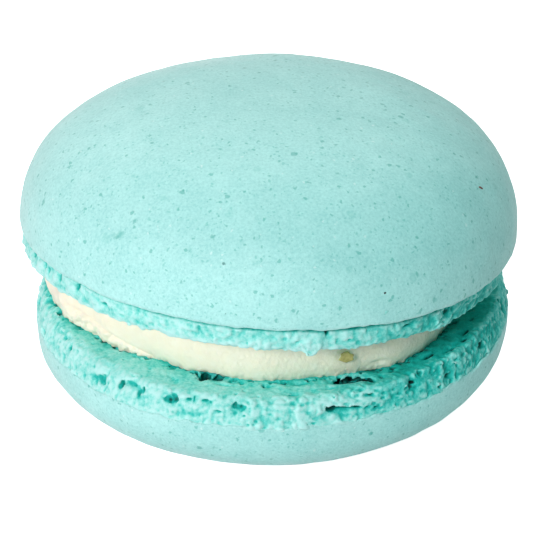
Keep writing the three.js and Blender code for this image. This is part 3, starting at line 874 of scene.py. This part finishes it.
def cream_mesh():
    """The cream's side from foot to top, its hidden ends, and each point's share of the height."""
    rings = []
    shares = []
    count = 2200
    angle = np.arange(count) / count * FULL_TURN - math.pi
    base = cream_radius(angle)
    degrees = np.degrees(angle)
    for share in np.linspace(0, 1, 42) ** 1.15:
        radius = base + CREAM_BULGE * math.sin(math.pi * share ** 0.75)
        radius = radius - cream_notch(angle) * max(0.0, 1 - share / 0.07)
        radius = radius + 0.06 * share * np.sin(5 * angle + 1) + 0.03 * share * np.sin(9 * angle + 3 * share)
        x = radius * np.cos(angle)
        y = radius * np.sin(angle)
        height = -0.12 + (gap_at(x, y) + 0.24) * share
        fold_height = np.interp(degrees, *zip(*CREAM_FOLD))
        folded = np.clip((degrees + 162) / 6, 0, 1) * np.clip((-127 - degrees) / 5, 0, 1)
        under = np.clip((fold_height - height) / 0.14, 0, 1)
        radius = radius + folded * under * (0.2 + 0.09 * ripple(x, y, height, 0.7, 75))
        radius = radius - 0.2 * folded * np.exp(-((height - fold_height) / 0.13) ** 2)
        across = (degrees - CREAM_DENT["angle"]) / CREAM_DENT["reach"]
        above = (height - CREAM_DENT["height"]) / CREAM_DENT["tall"]
        radius = radius - CREAM_DENT["depth"] * np.exp(-across ** 2 - above ** 2)
        low = max(0.0, 1 - share / 0.13)
        ragged = 0.07 * ripple(x, y, 0, 1.1, 71) + 0.035 * ripple(x, y, 0, 0.45, 72)
        radius = radius + low * ragged + 0.02 * ripple(x, y, height, 1.8, 73)
        radius = radius + 0.008 * ripple(x, y, height, 0.5, 74)
        rings.append(np.column_stack([radius * np.cos(angle), radius * np.sin(angle), height]))
        shares.append(share)
    middle_top = float(gap_at(0, 0)) + 0.12
    inner = [ring * (0.5, 0.5, 1) for ring in (rings[0][::5], rings[-1][::5])]
    points, faces = ring_body([inner[0], *rings, inner[1]], (0, 0, -0.12), (0, 0, middle_top))
    share_of = [np.zeros(1 + len(inner[0])), np.repeat(shares, count), np.ones(len(inner[1]) + 1)]
    return points, faces, {"height_share": np.concatenate(share_of)}


# Buttercream: butter and sugar beaten smooth. It is satin, lets light in a little way, and has
# faint sugar grain.
cream_material = new_material("buttercream")
cream_mm = object_mm(cream_material)
cream_noise = add(cream_material, "ShaderNodeTexNoise", [
    ("Vector", cream_mm), ("Scale", 1 / 0.9), ("Detail", 4), ("Roughness", 0.6),
]).outputs["Fac"]
cream_colour = add(cream_material, "ShaderNodeMix", [
    (0, cream_noise), (6, colour("#f6f0d4")), (7, colour("#fdfdea")),
], data_type="RGBA").outputs[2]
upness = add(cream_material, "ShaderNodeAttribute", attribute_name="height_share").outputs["Fac"]
# Near its top the cream is painted browner and darker, a painted shadow under the upper shell's foot, and a
# little near its foot: painted shade.
for ends, weight in (((0.68, 1.0), 0.75), ((0.1, 0.0), 0.2)):
    shade_share = add(cream_material, "ShaderNodeMapRange", [
        ("Value", upness), ("From Min", ends[0]), ("From Max", ends[1]), ("To Max", weight),
    ])
    cream_colour = add(cream_material, "ShaderNodeMix", [
        (0, shade_share.outputs[0]), (6, cream_colour), (7, colour("#c2ab86")),
    ], data_type="RGBA").outputs[2]
cream_grain = add(cream_material, "ShaderNodeTexNoise", [
    ("Vector", cream_mm), ("Scale", 1 / 0.35), ("Detail", 4), ("Roughness", 0.6),
]).outputs["Fac"]
cream_bump = add(cream_material, "ShaderNodeBump", [
    ("Height", cream_grain), ("Distance", 0.1 * MM), ("Strength", 0.7),
])
cover(cream_material, [
    ("Base Color", cream_colour), ("Roughness", 0.34), ("IOR", 1.46), ("Sheen Weight", 0.15),
    ("Normal", cream_bump.outputs[0]),
    ("Subsurface Weight", 0.25), ("Subsurface Radius", (1.0, 0.85, 0.6)), ("Subsurface Scale", 1.2 * MM),
])

points, faces, values = cream_mesh()
cream = make_piece("cream", points + np.array(LOWER_MIDDLE), faces, cream_material, shares=values)
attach(cream, "root")
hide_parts("filling")


# A flake of pistachio pressed into the side of the cream at the front. It is olive and dull.
def chip_mesh(wide, tall, thick, seed):
    """A small flat chip with an uneven outline, lying on its back, in millimetres."""
    count = 36
    angle = np.arange(count) / count * FULL_TURN
    uneven = 1 + 0.1 * ripple(np.cos(angle), np.sin(angle), 0, 1.6, seed)
    six_sided = np.max([np.abs(np.cos(angle + turn)) for turn in (0, FULL_TURN / 6, FULL_TURN / 3)], axis=0)
    uneven = uneven / six_sided ** 0.9
    uneven = uneven * (1 + 0.3 * np.exp(-(turn_between(math.radians(208), angle) / 0.45) ** 2))
    rings = []
    for share, height in ((0.9, -0.5), (1.0, -0.1), (0.97, 0.3), (0.8, 0.46), (0.4, 0.5)):
        x = 0.5 * wide * share * uneven * np.cos(angle)
        y = 0.5 * tall * share * uneven * np.sin(angle)
        z = thick * (height + 0.12 * ripple(x, y, 0, 0.5, seed + 1))
        rings.append(np.column_stack([x, y, z]))
    return ring_body(rings, (0, 0, -0.5 * thick), (0, 0, 0.5 * thick))


def lay_on(points, middle, outwards, roll):
    """Lays a chip with its back on a surface that faces outwards, rolled about that direction."""
    turn = Vector(outwards).to_track_quat("Z", "Y").to_matrix() @ Matrix.Rotation(math.radians(roll), 3, "Z")
    return points @ np.array(turn).T + np.array(middle)


flake_material = new_material("pistachio_flake")
flake_mm = object_mm(flake_material)
flake_noise = add(flake_material, "ShaderNodeTexNoise", [
    ("Vector", flake_mm), ("Scale", 1 / 0.3), ("Detail", 3),
])
flake_colour = add(flake_material, "ShaderNodeMix", [
    (0, flake_noise.outputs["Fac"]), (6, colour("#8f8638")), (7, colour("#d9d28a")),
], data_type="RGBA").outputs[2]
flake_bump = add(flake_material, "ShaderNodeBump", [
    ("Height", flake_noise.outputs["Fac"]), ("Distance", 0.04 * MM), ("Strength", 0.6),
])
cover(flake_material, [
    ("Base Color", flake_colour), ("Roughness", 0.5), ("IOR", 1.47), ("Normal", flake_bump.outputs[0]),
])

points, faces = chip_mesh(1.35, 0.95, 0.22, 5)
points = lay_on(points, (6.92, -17.25, 13.42), (0.24, -0.97, 0.1), -8)
flake = make_piece("flake", points, faces, flake_material)
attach(flake, "root")
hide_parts("filling")


# The upper shell's foot and skin: the same as below, but this shell lies on the cream, tipped back,
# and is a little wider.
UPPER = {
    "radius": 23.0, "height": 15.4, "widest_height": 2.65, "edge_radius": 22.45, "foot_height": 2.2,
    "foot_radius": 21.95, "foot_top_radius": 22.05, "crease_depth": 0.5, "lip_wander": 0.05,
    "roundness": 2.36, "flat_height": 15.4, "waves": [(2, 0.012, 45), (3, 0.0155, 58)], "spread": 0.6,
}
UPPER_MIDDLE = (
    LOWER_MIDDLE[0] + UPPER_SHIFT[0], LOWER_MIDDLE[1] + UPPER_SHIFT[1], LOWER_MIDDLE[2] + GAP_AT_MIDDLE,
)
UPPER_FOOT = {
    "seed": 311, "bumps": 150, "pits": 34, "face_width": 1.2,
    "front_spacing": 0.115, "back_spacing": 0.27, "edge_rounding": (0.3, 0.35), "face_raggedness": 0.25,
    "mark_share": 0.15, "edge_pits": 0,
    "lumps": [(-180, 0.5), (-140, 0.4), (-90, 0.45), (-60, 0.5), (-30, 0.6), (0, 0.6), (180, 0.5)],
    "ridges": {"angle": -34, "reach": 24, "slant": 1.1, "spacing": 0.95, "height": 0.08},
    # The lip share paints shade on the crumb just under the skin's lip.
    "rim": 0.0, "lip_painted_shade": 0.2,
    "grown": [(-81.5, 2.05, 0.75, 0.5, 0.5), (-80.2, 1.5, 0.6, 0.5, 0.45), (-82.5, 1.2, 0.5, 0.4, 0.4)],
    "marks": [
        (-80.8, 1.7, 1.0, 0.75, 1.6), (-45.5, 0.9, 0.9, 0.6, -1.0), (-31, 1.0, 1.0, 0.8, -0.8),
    ],
    "blobs": [
        ("grow", 40, 0.18, 0.4, (-0.85, -0.5), 0.12, (-180, 180), 1.0),
        ("carve", 360, 0.09, 0.18, (0.0, 0.8), 0.03, (-180, 180), 1.0),
        ("carve", 16, 0.2, 0.32, (0.1, 0.6), 0.05, (-180, 180), 1.0),
    ],
    "carved": [
        (-163, 0.9, 0.35, 0.22, 0.5), (-156, 0.7, 0.22, 0.3, 0.5), (-149, 0.9, 0.16, 0.36, 0.5),
        (-142, 0.7, 0.2, 0.3, 0.5), (-133, 1.1, 0.35, 0.12, 0.4), (-78.3, 0.4, 0.18, 0.34, 0.8),
        (-45.5, 0.9, 0.4, 0.22, 0.5), (-58, 0.8, 0.4, 0.1, 0.4),
    ],
    "undercuts": [],
}
points, faces, values = foot_mesh(UPPER, UPPER_FOOT)
points = place(points, UPPER_TURN, UPPER_MIDDLE)
upper_foot = make_piece("upper_foot", points, faces, crumb_material, shares=values)
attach(upper_foot, "root")
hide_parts("upper_shell")

points, faces = skin_mesh(UPPER, 42)
upper_skin = make_piece("upper_skin", place(points, UPPER_TURN, UPPER_MIDDLE), faces, skin_material)
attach(upper_skin, "root")
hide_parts("upper_shell")


# Flecks on the upper skin: a splinter of almond husk and a scorched grain, ground up with the almonds
# and baked in, and a loose crumb that has stuck to the rim.
def fleck_material(name, dark, light):
    material = new_material(name)
    noise = add(material, "ShaderNodeTexNoise", [
        ("Vector", object_mm(material)), ("Scale", 1 / 0.12), ("Detail", 2),
    ])
    mixed = add(material, "ShaderNodeMix", [
        (0, noise.outputs["Fac"]), (6, colour(dark)), (7, colour(light)),
    ], data_type="RGBA").outputs[2]
    cover(material, [("Base Color", mixed), ("Roughness", 0.6)])
    return material


husk_material = fleck_material("almond_husk", "#4a211c", "#8d4a3c")
grain_material = fleck_material("scorched_almond", "#0d201e", "#23443f")
for name, wide, tall, middle, outwards, roll, material in (
    ("husk_fleck", 0.5, 0.2, (19.12, -6.64, 24.67), (0.71, -0.2, 0.67), -55, husk_material),
    ("scorched_grain", 0.2, 0.17, (10.07, -20.42, 21.98), (0.41, -0.86, 0.3), 0, grain_material),
    ("loose_crumb", 0.32, 0.24, (10.26, -20.73, 20.22), (0.45, -0.89, 0.12), 20, crumb_material),
):
    points, faces = chip_mesh(wide, tall, 0.12, 8)
    fleck = make_piece(name, lay_on(points, middle, outwards, roll), faces, material)
    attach(fleck, "root")
    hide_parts("upper_shell")


# The studio: a white lit table and soft light from the front left.
bpy.context.scene.view_settings.view_transform = "Standard"
table_mesh = bpy.data.meshes.new("table")
half = 1.5                   # metres
corners = [(-half, -half, 0), (half, -half, 0), (half, half, 0), (-half, half, 0)]
table_mesh.from_pydata(corners, [], [(0, 1, 2, 3)])
table = bpy.data.objects.new("table", table_mesh)
bpy.context.collection.objects.link(table)
table_material = new_material("white_table")
cover(table_material, [
    ("Base Color", (0.85, 0.85, 0.85, 1)), ("Roughness", 0.9), ("Specular IOR Level", 0.0),
    ("Emission Color", (1, 1, 1, 1)),
    ("Emission Strength", add(table_material, "ShaderNodeMath", [
        (0, add(table_material, "ShaderNodeLightPath").outputs["Is Camera Ray"]), (1, 0.95),
    ], operation="MULTIPLY").outputs[0]),
])
table_mesh.materials.append(table_material)

world = bpy.data.worlds.new("studio")
bpy.context.scene.world = world
world.use_nodes = True
world.node_tree.nodes["Background"].inputs[0].default_value = (1, 1, 1, 1)
world.node_tree.nodes["Background"].inputs[1].default_value = 0.0


LIGHT_DISTANCE = 0.6


def soft_light(name, azimuth, elevation, size, power, tint):
    """A square soft light that faces the macaron."""
    data = bpy.data.lights.new(name, "AREA")
    data.size = size
    data.energy = power
    data.color = tint
    lamp = bpy.data.objects.new(name, data)
    a = math.radians(azimuth)
    e = math.radians(elevation)
    towards = Vector((math.sin(a) * math.cos(e), -math.cos(a) * math.cos(e), math.sin(e)))
    lamp.location = LOOK_AT + LIGHT_DISTANCE * towards
    lamp.rotation_euler = towards.to_track_quat("Z", "Y").to_euler()
    bpy.context.collection.objects.link(lamp)


soft_light("front", -27, 30, 0.12, 2.12, (1.0, 0.95, 0.96))
soft_light("front_high", -12, 50, 0.25, 0.66, (1.0, 0.98, 0.98))
soft_light("left", -78, 12, 0.3, 0.86, (1.0, 0.75, 0.79))
soft_light("front_right", 45, 42, 0.3, 0.22, (0.45, 1.0, 0.96))
soft_light("right", 95, 45, 0.35, 0.28, (0.3, 1.0, 0.98))
soft_light("back", 180, 45, 0.35, 0.66, (1.0, 0.86, 0.83))
soft_light("back_right", 150, 45, 0.2, 0.86, (0.95, 1.0, 1.0))
soft_light("back_left", -145, 38, 0.2, 0.85, (1.0, 0.8, 0.78))
